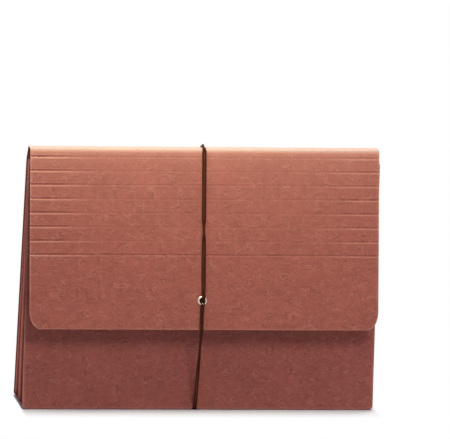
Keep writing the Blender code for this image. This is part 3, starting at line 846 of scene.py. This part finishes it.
class CordRoute:
    """The elastic cord's way round the wallet, in listed places.

    It leaves the eyelet upwards on the left, goes over the ridge and round the bottom, passes
    the eyelet on the right, goes round once more and comes back to the eyelet from below. Side
    -1 is the strand on the left of the flap, and side 1 the one on the right.
    """

    def __init__(self, sizes):
        self.line = main_line(sizes)
        self.seams = flap_seams(self.line)
        self.radius = sizes.cord / 2
        self.half = sizes.strand_pitch / 2
        self.lie = self.radius + CORD_GAP
        self.over = self.lie + sizes.cord + CORD_GAP
        self.flange = FLANGE_RISE + self.lie
        self.drift = sizes.bottom_drift
        self.middle = EYELET_X + self.half
        rim = EYELET_RADIUS + self.radius
        self.upper, self.lower = EYELET_DROP - rim, EYELET_DROP + rim
        self.top = self.line.length_at(flap_point(self.upper))
        self.rear = self.line.length_at(REAR_CREASE)
        self.foot = self.line.length_at(BACK_FOOT)
        self.heel = self.foot + 0.006

    def x(self, side):
        """X of a strand on the flap."""
        return self.middle + side * self.half

    def stub_x(self, side):
        """X of a strand where it leaves the eyelet's flange downwards, and at the flap's lower edge."""
        start = self.x(side) - 0.0010 - side * 0.0001
        return start, start - 0.0005

    def marks(self, side):
        """Lengths from the eyelet to the bottom, with the strand's X and height at each.

        The strands change sides over the ridge. The left one passes over the right one there
        and where they touch on the flap.
        """
        crossing = self.over if side < 0 else self.lie
        start = self.x(side) + (0.0002 if side < 0 else -0.0003)
        ridge = self.seams[0]
        twist = self.line.length_at(flap_point(TWIST_DROP))
        below = self.drift - side * self.half
        return [(self.top, start, self.flange), (self.top - 0.007, self.x(side), self.lie),
                (twist + 0.010, self.x(side), self.lie), (twist, self.middle + side * 0.0002, crossing),
                (twist - 0.012, self.x(side), self.lie), (ridge + 0.009, self.x(side), self.lie),
                (ridge, self.middle, crossing), (self.rear - 0.004, self.x(-side), self.lie),
                (self.foot + 0.02, below, self.lie), (self.foot, below, self.lie)]

    def at_eyelet(self):
        """Out of the hole upwards, past it on the right, and from below into the hole."""
        left, right = self.x(-1), self.x(1)
        hole_top, hole_low = EYELET_DROP - 0.0006, EYELET_DROP + 0.0009
        inside, mouth, bend = -BOARD - 0.0009, 0.0003, 0.0014
        raised = self.flange + 0.0001
        upwards = [(left, hole_top, inside), (left, hole_top, mouth), (left, hole_top - 0.0010, bend),
                   (left + 0.0001, hole_top - 0.0026, raised), (left + 0.0002, self.upper, self.flange)]
        past = [(right - 0.0003, self.upper, self.flange), (right - 0.0004, EYELET_DROP, self.flange),
                (self.stub_x(1)[0], self.lower, self.flange)]
        from_below = [(left - 0.0002, hole_low, inside), (left - 0.0002, hole_low, mouth),
                      (left - 0.0005, hole_low + 0.0009, bend),
                      (left - 0.0008, self.lower - 0.001, raised),
                      (self.stub_x(-1)[0], self.lower, self.flange)]
        return [[on_flap(*spot) for spot in run] for run in (upwards, past, from_below)]

    def stub(self, side):
        """From the eyelet's flange down to the flap's lower edge."""
        start, end = self.stub_x(side)
        return [on_flap(start, self.lower, self.flange),
                on_flap(start - 0.0002, self.lower + 0.006, self.lie),
                on_flap(end, FLAP_LENGTH - 0.006, self.lie), on_flap(end, FLAP_LENGTH, self.lie)]

    def front_run(self, side):
        """From the flap's lower edge to the bottom fold and under it to the back.

        Seen from the front, the strands draw together below the flap and part again.
        """
        ends = {way: self.stub_x(way)[1] for way in (-1, 1)}
        meeting = (ends[-1] + ends[1]) / 2
        x = self.drift + side * self.half
        edge = np.array(on_flap(ends[side], FLAP_LENGTH, self.lie))
        corner = np.array([x, FRONT_FOOT[0] - 0.0008, 0.0030])
        points = [edge]
        for share, x_share in ((0.10, 0.35), (0.24, 0.62), (0.42, 0.16), (0.72, 0.0)):
            spot = edge + (corner - edge) * share
            spot[0] += (self.drift * share + meeting * (1 - share) - spot[0]) * x_share
            spot[1] += side * 0.0007 * np.sin(pi * share)
            points.append(spot)
        under = [(FRONT_FOOT[0] - 0.0002, 0.0015), (FRONT_FOOT[0] + 0.0014, DENT_LIE),
                 (FRONT_FOOT[0] + 0.010, DENT_LIE), (0.0, DENT_LIE), (BACK_FOOT[0] - 0.008, DENT_LIE),
                 (BACK_FOOT[0] - 0.0006, DENT_LIE), (BACK_FOOT[0] + 0.0010, 0.0018)]
        spots, normals = self.line.at(np.array([self.heel - 0.002, self.heel]))
        return [*points, corner, *((x, *spot) for spot in (*under, *(spots + normals * self.lie)))]


def make_cord(sizes):
    """Elastic cord in stretches that follow the flap, the back and the bottom."""
    route = CordRoute(sizes)
    line, seams, both = route.line, route.seams, (-1, 1)

    def cord_piece(name, paths):
        """One stretch of the cord: a tube along each path."""
        runs = [tube(path, route.radius, SIDEWAYS) for path in paths]
        piece = tubes_piece(name, runs, MATERIALS["elastic"])
        return piece

    def strands(start, end):
        """Both strands between two lengths of the board's line."""
        return [strand(line, route.marks(side), start, end) for side in both]

    for number, (name, (_, above, below, _)) in enumerate(zip(CORD_PIECES, FLAP_PIECES)):
        piece = cord_piece(name, strands(seams[number], min(seams[number + 1], route.top)))
        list(bend_ends(line, number, seams))
        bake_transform(piece)

    back = cord_piece("cord_on_back", strands(route.heel, seams[0]))
    line.place(route.rear - REAR_BEND)
    line.place(seams[0])
    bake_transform(back)
    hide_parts("elastic_cord")

    piece = cord_piece("cord_at_eyelet", [eased_route(run, 0.0005) for run in route.at_eyelet()])
    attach(piece, "flap")

    stub = cord_piece("cord_below_eyelet", [eased_route(route.stub(side)) for side in both])
    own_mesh(stub)
    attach(stub, "flap")

    front = cord_piece("cord_on_front", [eased_route(route.front_run(side)) for side in both])
    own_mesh(front)
    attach(front, "pocket")


def feed(tree, node, inputs):
    """Give a node's inputs their values: a socket is linked, anything else is set."""
    for name, value in inputs.items():
        if isinstance(value, bpy.types.NodeSocket):
            tree.links.new(value, node.inputs[name])
        else:
            node.inputs[name].default_value = value


def add(tree, kind, inputs=None, **settings):
    """One shader node with its properties set and its inputs fed."""
    made = tree.nodes.new(kind)
    for name, value in settings.items():
        setattr(made, name, value)
    feed(tree, made, inputs or {})
    return made


def maths(tree, operation, *values):
    """Result of a math node fed by sockets or numbers."""
    return add(tree, 'ShaderNodeMath', dict(enumerate(values)), operation=operation).outputs[0]


def noise(tree, vector, scale, detail=3.0, roughness=0.55):
    """Noise of a scale, from 0 to 1 about a half."""
    inputs = {"Vector": vector, "Scale": scale, "Detail": detail, "Roughness": roughness}
    return add(tree, 'ShaderNodeTexNoise', inputs).outputs["Fac"]


def mapped(tree, vector, scale, turn=0.0):
    """A vector stretched along its axes and turned about Z."""
    inputs = {"Vector": vector, "Scale": scale, "Rotation": (0.0, 0.0, turn)}
    return add(tree, 'ShaderNodeMapping', inputs).outputs["Vector"]


def ramp(tree, value, low, high):
    """Map a value between low and high to 0 and 1 with eased ends."""
    inputs = {"Value": value, "From Min": low, "From Max": high}
    return add(tree, 'ShaderNodeMapRange', inputs, interpolation_type='SMOOTHSTEP').outputs["Result"]


def blended(tree, share, first, second):
    """Mix of two colours by a share."""
    return add(tree, 'ShaderNodeMix', {0: share, 6: first, 7: second}, data_type='RGBA').outputs[2]


def scaled(tree, colour, share):
    """A colour made lighter or darker by a share."""
    inputs = {0: colour, "Scale": share}
    return add(tree, 'ShaderNodeVectorMath', inputs, operation='SCALE').outputs["Vector"]


def bumped(tree, height, distance, strength):
    """Normal of a surface that a height raises."""
    inputs = {"Height": height, "Distance": distance, "Strength": strength}
    return add(tree, 'ShaderNodeBump', inputs).outputs["Normal"]


def opaque(colour):
    """A colour with full alpha, as a colour socket takes it."""
    return (*colour, 1.0)


def new_group(name, inputs, outputs):
    """An empty shader node group with named sockets: the group, its inputs and its output node."""
    group = bpy.data.node_groups.new(name, 'ShaderNodeTree')
    for label, kind in inputs:
        group.interface.new_socket(name=label, in_out='INPUT', socket_type=kind)
    for label, kind in outputs:
        group.interface.new_socket(name=label, in_out='OUTPUT', socket_type=kind)
    return group, add(group, 'NodeGroupInput').outputs, add(group, 'NodeGroupOutput')


def curls(tree, swell, level, thin, sparse):
    """Curly fibres: the lines on which a noise passes through a level, where a mask lets them show."""
    away = maths(tree, 'ABSOLUTE', maths(tree, 'SUBTRACT', swell, level))
    return maths(tree, 'MULTIPLY', ramp(tree, away, thin, 0.0), sparse)


def fibre_group():
    """Pressed fibres: mottled tone, flecks lying along X, sparse curly fibres and their relief."""
    group, given, result = new_group(
        "pressed_fibres",
        [("Vector", 'NodeSocketVector'), ("Mottle", 'NodeSocketFloat'), ("Flecks", 'NodeSocketFloat')],
        [("Tone", 'NodeSocketFloat'), ("Pale", 'NodeSocketFloat'), ("Height", 'NodeSocketFloat')])
    spread = given["Vector"]
    wide = mapped(group, spread, (0.65, 1.0, 1.0))
    cloudy = noise(group, spread, 28.0, 4.0)
    grain = noise(group, wide, 210.0, 3.0, 0.55)
    fine = noise(group, spread, 620.0, 4.0, 0.65)
    lying = noise(group, mapped(group, spread, (0.40, 1.0, 1.0)), 640.0, 2.0)
    slanted = noise(group, mapped(group, spread, (0.45, 1.0, 1.0), radians(62)), 560.0, 2.0)
    pale = maths(group, 'MAXIMUM', ramp(group, lying, 0.60, 0.76), ramp(group, slanted, 0.63, 0.78))
    dark = maths(group, 'MAXIMUM', ramp(group, lying, 0.40, 0.26), ramp(group, slanted, 0.36, 0.22))
    sparse = ramp(group, noise(group, spread, 120.0, 2.0), 0.50, 0.60)
    swell = noise(group, wide, 260.0, 1.0)
    curly = curls(group, swell, 0.47, 0.08, sparse)
    beside = curls(group, swell, 0.60, 0.07, sparse)
    pale = maths(group, 'MAXIMUM', pale, maths(group, 'MULTIPLY', curly, 0.8))
    dark = maths(group, 'MAXIMUM', dark, maths(group, 'MULTIPLY', beside, 0.7))
    swing = maths(group, 'MULTIPLY_ADD', cloudy, 0.6, maths(group, 'MULTIPLY_ADD', grain, 0.8, fine))
    swing = maths(group, 'MULTIPLY', maths(group, 'SUBTRACT', swing, 1.2), given["Mottle"])
    shade = maths(group, 'MULTIPLY', dark, given["Flecks"])
    small = maths(group, 'MULTIPLY', maths(group, 'ADD', fine, maths(group, 'SUBTRACT', pale, dark)), 0.3)
    raised = maths(group, 'MULTIPLY_ADD', curly, 1.1, maths(group, 'MULTIPLY', grain, 0.6))
    feed(group, result, {
        "Tone": maths(group, 'SUBTRACT', maths(group, 'MULTIPLY_ADD', swing, 2.0, 1.0), shade),
        "Pale": maths(group, 'MULTIPLY', pale, given["Flecks"]),
        "Height": maths(group, 'ADD', raised, small)})
    return group


def wear_and_light_group():
    """Worn edges and painted light: the attribute, broken up by noise, brings in the worn colour and then
    the palest colour, which is worn-through fibres and the painted highlight on the ridge.
    """
    group, given, result = new_group(
        "worn_edges_and_painted_light",
        [("Vector", 'NodeSocketVector'), ("Wear_and_light", 'NodeSocketFloat'), ("Clean", 'NodeSocketColor'),
         ("Worn", 'NodeSocketColor'), ("Bare_and_highlight", 'NodeSocketColor')],
        [("Color", 'NodeSocketColor')])
    broken = noise(group, given["Vector"], 420.0, 4.0, 0.7)
    patchy = noise(group, given["Vector"], 60.0, 2.0)
    uneven = maths(group, 'MULTIPLY', maths(group, 'ADD', broken, patchy), 0.55)
    mask = maths(group, 'MULTIPLY', given["Wear_and_light"], maths(group, 'ADD', uneven, 0.42))
    worn = maths(group, 'MINIMUM', maths(group, 'MULTIPLY', mask, 1.6), 1.0)
    colour = blended(group, worn, given["Clean"], given["Worn"])
    feed(group, result, {"Color": blended(group, ramp(group, mask, 0.60, 0.95), colour, given["Bare_and_highlight"])})
    return group


def new_material(name):
    """A material with its Principled shader."""
    material = bpy.data.materials.new(name)
    material.use_nodes = True
    return material, material.node_tree, material.node_tree.nodes["Principled BSDF"]


def paper_finish(name, clean, worn, bare_and_highlight, groups, mottle, flecks, specular):
    """Pressed-fibre paper or board with worn edges and the painted light that the sheet's attribute
    carries; the pattern follows the sheet's own UV map.
    """
    material, tree, shader = new_material(name)
    fibre, wear_and_light = groups
    spread = add(tree, 'ShaderNodeUVMap', uv_map="face").outputs["UV"]
    fibres = add(tree, 'ShaderNodeGroup', {"Vector": spread, "Mottle": mottle, "Flecks": flecks},
                 node_tree=fibre).outputs
    flecked = blended(tree, fibres["Pale"], scaled(tree, clean, fibres["Tone"]), opaque(worn))
    # Worn colour and painted light, as the sheet's attribute gives them
    rubbed_and_lit = add(tree, 'ShaderNodeAttribute', attribute_name="wear_and_light").outputs["Fac"]
    edges = add(tree, 'ShaderNodeGroup', {
        "Vector": spread, "Wear_and_light": rubbed_and_lit, "Clean": flecked, "Worn": opaque(worn), "Bare_and_highlight": opaque(bare_and_highlight)},
        node_tree=wear_and_light).outputs
    feed(tree, shader, {
        "Base Color": edges["Color"],
        "Roughness": maths(tree, 'MULTIPLY_ADD', fibres["Tone"], -0.12, 0.76),
        "Specular IOR Level": specular,
        "Normal": bumped(tree, fibres["Height"], 0.00016, 0.7)})
    return material


def elastic_finish(colour):
    """Braided elastic: two families of yarn wind round the cord and pass over each other, with painted
    shade in the grooves between them.
    """
    material, tree, shader = new_material("elastic_braid")
    spread = add(tree, 'ShaderNodeUVMap', uv_map="face").outputs["UV"]
    parts = add(tree, 'ShaderNodeSeparateXYZ', {"Vector": spread}).outputs
    around = maths(tree, 'MULTIPLY', parts["X"], 2 * pi * BRAID_YARNS)
    along = maths(tree, 'MULTIPLY', parts["Y"], 2 * pi / BRAID_PITCH)
    right = maths(tree, 'SINE', maths(tree, 'ADD', around, along))
    left = maths(tree, 'SINE', maths(tree, 'SUBTRACT', around, along))
    braid = maths(tree, 'MAXIMUM', right, left)
    yarn = noise(tree, spread, 2600.0, 2.0)
    bright = scaled(tree, colour, maths(tree, 'MULTIPLY_ADD', yarn, 0.5, 0.75))
    # Painted shade: the grooves between the yarns are darkened to about a third of the yarn's colour
    dark = opaque(channel * 0.35 for channel in colour)
    feed(tree, shader, {
        "Base Color": blended(tree, ramp(tree, braid, -0.2, 1.0), dark, bright),
        "Roughness": maths(tree, 'MULTIPLY_ADD', yarn, 0.2, 0.62),
        "Specular IOR Level": 0.06,
        "Normal": bumped(tree, braid, 0.00012, 0.8)})
    return material


def metal_finish(colour):
    """Nickel plate with fine scratches and slightly dulled patches."""
    material, tree, shader = new_material("nickelled_steel")
    places = add(tree, 'ShaderNodeTexCoord').outputs["Object"]
    lines = noise(tree, mapped(tree, places, (1.0, 1.0, 0.12)), 5200.0, 3.0)
    dull = noise(tree, places, 900.0, 3.0)
    shade = opaque(channel * 0.8 for channel in colour)
    rough = maths(tree, 'MULTIPLY_ADD', dull, 0.16, 0.12)
    feed(tree, shader, {
        "Base Color": blended(tree, ramp(tree, dull, 0.35, 0.65), opaque(colour), shade),
        "Metallic": 1.0,
        "Roughness": maths(tree, 'MULTIPLY_ADD', lines, 0.06, rough),
        "Normal": bumped(tree, lines, 0.00002, 0.15)})
    return material


def shown_directly(tree):
    """1 for rays from the camera, and for what metal mirrors of them."""
    path = add(tree, 'ShaderNodeLightPath').outputs
    seen = maths(tree, 'MAXIMUM', path["Is Camera Ray"], path["Is Glossy Ray"])
    return maths(tree, 'MAXIMUM', seen, path["Is Transmission Ray"])


def floor_finish(colour):
    """Pale floor that shows white, except for the wallet's soft shadow close to its foot.

    How far a place lies outside the foot is the largest of four distances, one for each side,
    each taken as a share of the shadow's reach on that side. Light that the floor throws back
    on the wallet is that of a greyer floor.
    """
    material, tree, shader = new_material("studio_floor")
    seen = shown_directly(tree)
    feed(tree, shader, {"Base Color": blended(tree, seen, FLOOR_BOUNCE, opaque(colour)),
                        "Roughness": 0.9, "Specular IOR Level": 0.0})
    places = add(tree, 'ShaderNodeTexCoord').outputs["Object"]
    parts = add(tree, 'ShaderNodeSeparateXYZ', {"Vector": places}).outputs
    sides = (("X", -1, HALF_WIDTH, 0.0012), ("X", 1, HALF_WIDTH, 0.004),
             ("Y", -1, -FRONT_FOOT[0], 0.036), ("Y", 1, BACK_FOOT[0] + BOARD, 0.008))
    away = 0.0
    for axis, way, edge, reach in sides:
        outside = maths(tree, 'MULTIPLY_ADD', parts[axis], way / reach, -edge / reach)
        away = maths(tree, 'MAXIMUM', outside, away)
    white = add(tree, 'ShaderNodeEmission').outputs["Emission"]
    share = maths(tree, 'MULTIPLY', ramp(tree, away, 0.0, 1.0), seen)
    either = add(tree, 'ShaderNodeMixShader', {"Fac": share, 1: shader.outputs["BSDF"], 2: white})
    feed(tree, tree.nodes["Material Output"], {"Surface": either.outputs["Shader"]})
    return material


def make_looks(colours):
    """All materials, kept by name for the pieces."""
    groups = (fibre_group(), wear_and_light_group())
    board, board_worn_and_highlight, ridge_highlight_and_raw_fibres, paper, paper_worn_and_highlight = (
        tuple(colour) for colour in (colours.board, colours.board_worn_and_highlight, colours.ridge_highlight_and_raw_fibres, colours.paper,
                                     colours.paper_worn_and_highlight))
    # The board's palest colour is raw fibres and the painted ridge highlight; the pleats' worn colour is
    # fold wear and a painted highlight on their tips
    MATERIALS.update({
        "board": paper_finish("fibre_board", board, board_worn_and_highlight, ridge_highlight_and_raw_fibres, groups, 0.34, 0.28, 0.12),
        "paper": paper_finish("gusset_paper", paper, paper_worn_and_highlight, paper_worn_and_highlight, groups, 0.30, 0.30, 0.0),
        "elastic": elastic_finish(tuple(colours.elastic)),
        "metal": metal_finish(tuple(colours.metal)),
        "floor": floor_finish(tuple(colours.floor)),
    })


def area_light(scene, name, place, aim, size, power, colour):
    """A soft box that faces a point."""
    data = bpy.data.lights.new(name, 'AREA')
    data.shape = 'RECTANGLE'
    data.size, data.size_y = size
    data.energy = power
    data.color = colour
    lamp = bpy.data.objects.new(name, data)
    scene.collection.objects.link(lamp)
    lamp.location = place
    lamp.rotation_euler = (Vector(aim) - Vector(place)).to_track_quat('-Z', 'Y').to_euler()


def make_stage(scene):
    """Pale floor, white surroundings, soft boxes and the camera."""
    floor = bpy.data.meshes.new("floor")
    corners = [(x * FLOOR_REACH, y * FLOOR_REACH, 0) for x, y in ((-1, -1), (1, -1), (1, 1), (-1, 1))]
    floor.from_pydata(corners, [], [(0, 1, 2, 3)])
    floor.materials.append(MATERIALS["floor"])
    ground = bpy.data.objects.new("floor", floor)
    scene.collection.objects.link(ground)
    ground.location.z = -FLOOR_DROP

    scene.world = bpy.data.worlds.new("studio")
    scene.world.use_nodes = True
    tree = scene.world.node_tree
    light = blended(tree, shown_directly(tree), FILL_LIGHT, WHITE)
    feed(tree, tree.nodes["Background"], {"Color": light})
    for box in LIGHTS:
        area_light(scene, *box)

    data = bpy.data.cameras.new("camera")
    data.sensor_width = SENSOR_WIDTH
    data.lens = CAMERA_FOCAL_PIXELS * SENSOR_WIDTH / IMAGE_WIDTH
    data.clip_end = 30.0
    camera = bpy.data.objects.new("camera", data)
    scene.collection.objects.link(camera)
    back = Vector((sin(CAMERA_TURN) * cos(CAMERA_RISE), -cos(CAMERA_TURN) * cos(CAMERA_RISE),
                   sin(CAMERA_RISE)))
    camera.location = Vector(CAMERA_TARGET) + back * CAMERA_DISTANCE
    level = (-back).to_track_quat('-Z', 'Y').to_matrix()
    camera.rotation_euler = (level @ Matrix.Rotation(CAMERA_ROLL, 3, 'Z')).to_euler()
    scene.camera = camera
    scene.view_settings.view_transform = 'Standard'


class WALLET_OT_looks(bpy.types.Operator):
    """Make the wallet's materials"""
    bl_idname = "wallet.looks"
    bl_label = "Materials"
    bl_options = {'REGISTER', 'UNDO'}

    def execute(self, context):
        make_looks(context.scene.wallet_colours)
        return {'FINISHED'}


class WALLET_OT_stage(bpy.types.Operator):
    """Make the floor, the lights and the camera"""
    bl_idname = "wallet.stage"
    bl_label = "Stage"
    bl_options = {'REGISTER', 'UNDO'}

    def execute(self, context):
        make_stage(context.scene)
        return {'FINISHED'}


class WALLET_OT_cord(bpy.types.Operator):
    """Make the elastic cord"""
    bl_idname = "wallet.cord"
    bl_label = "Elastic Cord"
    bl_options = {'REGISTER', 'UNDO'}

    def execute(self, context):
        make_cord(context.scene.wallet_sizes)
        return {'FINISHED'}


class WALLET_OT_body(bpy.types.Operator):
    """Make the back, bottom and front of the folded board"""
    bl_idname = "wallet.body"
    bl_label = "Back and Front"
    bl_options = {'REGISTER', 'UNDO'}

    def execute(self, context):
        make_body(context.scene.wallet_sizes)
        return {'FINISHED'}


class WALLET_OT_flap(bpy.types.Operator):
    """Make the ridge and the scored flap"""
    bl_idname = "wallet.flap"
    bl_label = "Flap"
    bl_options = {'REGISTER', 'UNDO'}

    def execute(self, context):
        make_flap(context.scene.wallet_sizes)
        return {'FINISHED'}


class WALLET_OT_pleats(bpy.types.Operator):
    """Make the pleated sides"""
    bl_idname = "wallet.pleats"
    bl_label = "Pleats"
    bl_options = {'REGISTER', 'UNDO'}

    def execute(self, context):
        make_pleats(context.scene.wallet_sizes)
        return {'FINISHED'}


class WALLET_OT_eyelet(bpy.types.Operator):
    """Make the eyelet and its washer"""
    bl_idname = "wallet.eyelet"
    bl_label = "Eyelet"
    bl_options = {'REGISTER', 'UNDO'}

    def execute(self, context):
        make_eyelet()
        return {'FINISHED'}


class WALLET_OT_knot(bpy.types.Operator):
    """Make the knot behind the eyelet"""
    bl_idname = "wallet.knot"
    bl_label = "Knot"
    bl_options = {'REGISTER', 'UNDO'}

    def execute(self, context):
        make_knot(context.scene.wallet_sizes)
        return {'FINISHED'}


STEPS = (WALLET_OT_looks, WALLET_OT_stage, WALLET_OT_cord, WALLET_OT_body, WALLET_OT_flap,
         WALLET_OT_pleats, WALLET_OT_eyelet, WALLET_OT_knot)


class WALLET_PT_panel(bpy.types.Panel):
    """Sizes, colours and steps of the wallet"""
    bl_idname = "WALLET_PT_panel"
    bl_label = "Expanding File Wallet"
    bl_space_type = 'VIEW_3D'
    bl_region_type = 'UI'
    bl_category = "Wallet"

    def draw(self, context):
        for group in (context.scene.wallet_sizes, context.scene.wallet_colours):
            box = self.layout.box()
            for name in group.bl_rna.properties.keys():
                if name not in {"rna_type", "name"}:
                    box.prop(group, name)
        for step in STEPS:
            self.layout.operator(step.bl_idname)


CLASSES = (WalletSizes, WalletColours, *STEPS, WALLET_PT_panel)


def register():
    """Register the classes and give the scene its sizes and colours."""
    for each in CLASSES:
        bpy.utils.register_class(each)
    bpy.types.Scene.wallet_sizes = PointerProperty(type=WalletSizes)
    bpy.types.Scene.wallet_colours = PointerProperty(type=WalletColours)


def unregister():
    """Take back what register did."""
    del bpy.types.Scene.wallet_colours
    del bpy.types.Scene.wallet_sizes
    for each in reversed(CLASSES):
        bpy.utils.unregister_class(each)


def main():
    register()
    bpy.ops.wallet.looks()
    bpy.ops.wallet.stage()
    bpy.ops.wallet.cord()
    bpy.ops.wallet.body()
    bpy.ops.wallet.flap()
    bpy.ops.wallet.pleats()
    bpy.ops.wallet.eyelet()
    bpy.ops.wallet.knot()


if __name__ == "__main__":
    main()
